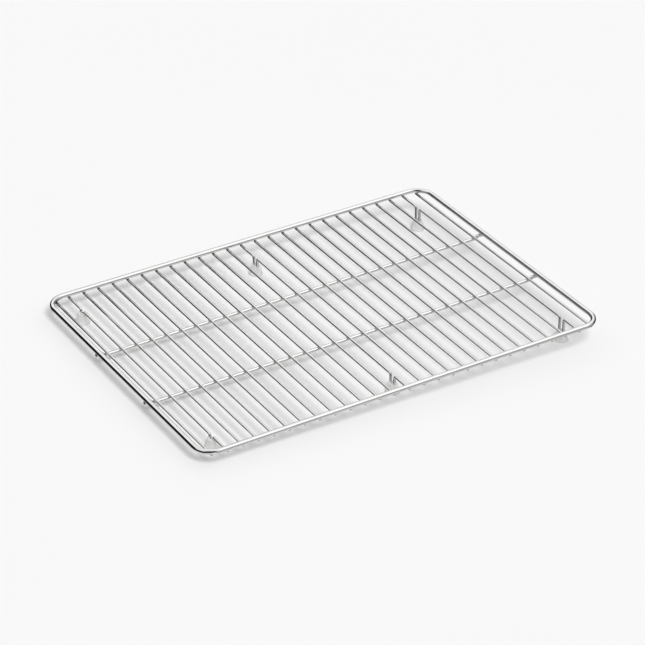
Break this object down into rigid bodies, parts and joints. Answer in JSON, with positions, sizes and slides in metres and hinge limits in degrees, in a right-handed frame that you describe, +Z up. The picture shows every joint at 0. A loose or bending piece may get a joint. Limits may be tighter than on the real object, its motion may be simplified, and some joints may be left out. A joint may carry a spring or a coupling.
{
  "type": "wire cooling rack",
  "caption": "Rectangular wire cooling rack with a rounded rod rim, parallel cross wires over two stretcher rods, and bent wire legs with soft push-on foot caps.",
  "frame": {"origin": "on the surface the rack stands on, under the middle of the rack", "axes": "+X along the long side towards the longer legs, +Y towards the back, +Z up"},
  "size_m": [0.4198, 0.301, 0.0296],
  "materials": {
    "steel_wire": "bright electropolished stainless steel wire",
    "foot_cap": "milky translucent silicone, satin"
  },
  "bodies": {
    "root": {"frame_rod": "steel_wire", "stretcher_rod_back": "steel_wire", "stretcher_rod_front": "steel_wire", "cross_wire_01": "steel_wire", "cross_wire_02": "steel_wire", "cross_wire_03": "steel_wire", "cross_wire_04": "steel_wire", "cross_wire_05": "steel_wire", "cross_wire_06": "steel_wire", "cross_wire_07": "steel_wire", "cross_wire_08": "steel_wire", "cross_wire_09": "steel_wire", "cross_wire_10": "steel_wire", "cross_wire_11": "steel_wire", "cross_wire_12": "steel_wire", "cross_wire_13": "steel_wire", "cross_wire_14": "steel_wire", "cross_wire_15": "steel_wire", "cross_wire_16": "steel_wire", "cross_wire_17": "steel_wire", "cross_wire_18": "steel_wire", "cross_wire_19": "steel_wire", "cross_wire_20": "steel_wire", "cross_wire_21": "steel_wire", "cross_wire_22": "steel_wire", "cross_wire_23": "steel_wire", "cross_wire_24": "steel_wire", "cross_wire_25": "steel_wire", "cross_wire_26": "steel_wire", "cross_wire_27": "steel_wire", "foot_cap_back_left": "foot_cap", "foot_cap_back_middle": "foot_cap", "foot_cap_back_right": "foot_cap", "foot_cap_front_left": "foot_cap", "foot_cap_front_middle": "foot_cap", "foot_cap_front_right": "foot_cap"}
  },
  "joints": []
}
